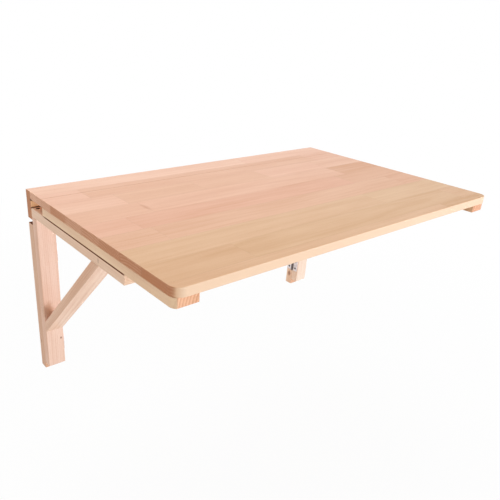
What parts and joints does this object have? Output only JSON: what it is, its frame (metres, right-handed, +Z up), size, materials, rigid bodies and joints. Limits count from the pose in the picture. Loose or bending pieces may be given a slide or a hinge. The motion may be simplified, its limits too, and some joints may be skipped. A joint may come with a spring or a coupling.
{
  "type": "wall-mounted folding desk",
  "caption": "Wooden desk on a wall rail: a hinged top leaf with end battens rests on triangular brackets that swing out from wall posts on butt hinges and fold flat.",
  "frame": {"origin": "middle of the row of wall screw holes in the rail, on the wall's face; the top surface is 36.5 mm above it", "axes": "+X along the wall to the right as seen from the room, +Y into the wall, +Z up"},
  "size_m": [0.8, 0.5, 0.4],
  "materials": {
    "panel_wood": "satin, edge-glued staves",
    "frame_wood": "satin",
    "dowel_wood": "plain",
    "hinge_steel": "zinc plated",
    "screw_steel": "dark plated"
  },
  "bodies": {
    "wall_frame": {"wall_rail": "panel_wood", "fixed_strip": "panel_wood", "strip_screws": "screw_steel", "strip_dowels": "dowel_wood", "fold_hinge_screws_strip": "screw_steel", "fold_hinge_1_strip_wing": "hinge_steel", "fold_hinge_1_pin": "hinge_steel", "fold_hinge_2_strip_wing": "hinge_steel", "fold_hinge_2_pin": "hinge_steel", "fold_hinge_3_strip_wing": "hinge_steel", "fold_hinge_3_pin": "hinge_steel", "wall_post_left": "frame_wood", "post_left_hinge_screws": "screw_steel", "side_hinge_left_upper_post_wing": "hinge_steel", "side_hinge_left_upper_pin": "hinge_steel", "side_hinge_left_lower_post_wing": "hinge_steel", "side_hinge_left_lower_pin": "hinge_steel", "wall_post_right": "frame_wood", "post_right_hinge_screws": "screw_steel", "side_hinge_right_upper_post_wing": "hinge_steel", "side_hinge_right_upper_pin": "hinge_steel", "side_hinge_right_lower_post_wing": "hinge_steel", "side_hinge_right_lower_pin": "hinge_steel"},
    "bracket_left": {"bracket_left_stile": "frame_wood", "bracket_left_arm": "frame_wood", "bracket_left_brace": "frame_wood", "bracket_left_screws": "screw_steel", "bracket_left_hinge_screws": "screw_steel", "side_hinge_left_upper_bracket_wing": "hinge_steel", "side_hinge_left_lower_bracket_wing": "hinge_steel"},
    "bracket_right": {"bracket_right_stile": "frame_wood", "bracket_right_arm": "frame_wood", "bracket_right_brace": "frame_wood", "bracket_right_screws": "screw_steel", "bracket_right_hinge_screws": "screw_steel", "side_hinge_right_upper_bracket_wing": "hinge_steel", "side_hinge_right_lower_bracket_wing": "hinge_steel"},
    "leaf": {"top_leaf": "panel_wood", "batten_left": "frame_wood", "batten_right": "frame_wood", "batten_screws": "screw_steel", "fold_hinge_screws_leaf": "screw_steel", "fold_hinge_1_leaf_wing": "hinge_steel", "fold_hinge_2_leaf_wing": "hinge_steel", "fold_hinge_3_leaf_wing": "hinge_steel"}
  },
  "joints": [
    {"name": "bracket_left_swing", "type": "hinge", "parent": "wall_frame", "child": "bracket_left", "pos_m": [-0.3605, -0.02015, -0.2], "axis": [0, 0, 1], "range_deg": [0, 90]},
    {"name": "bracket_right_swing", "type": "hinge", "parent": "wall_frame", "child": "bracket_right", "pos_m": [0.3605, -0.02015, -0.2], "axis": [0, 0, -1], "range_deg": [0, 90]},
    {"name": "leaf_lift", "type": "hinge", "parent": "wall_frame", "child": "leaf", "pos_m": [0, -0.0735, 0.0175], "axis": [-1, 0, 0], "range_deg": [0, 2]}
  ]
}
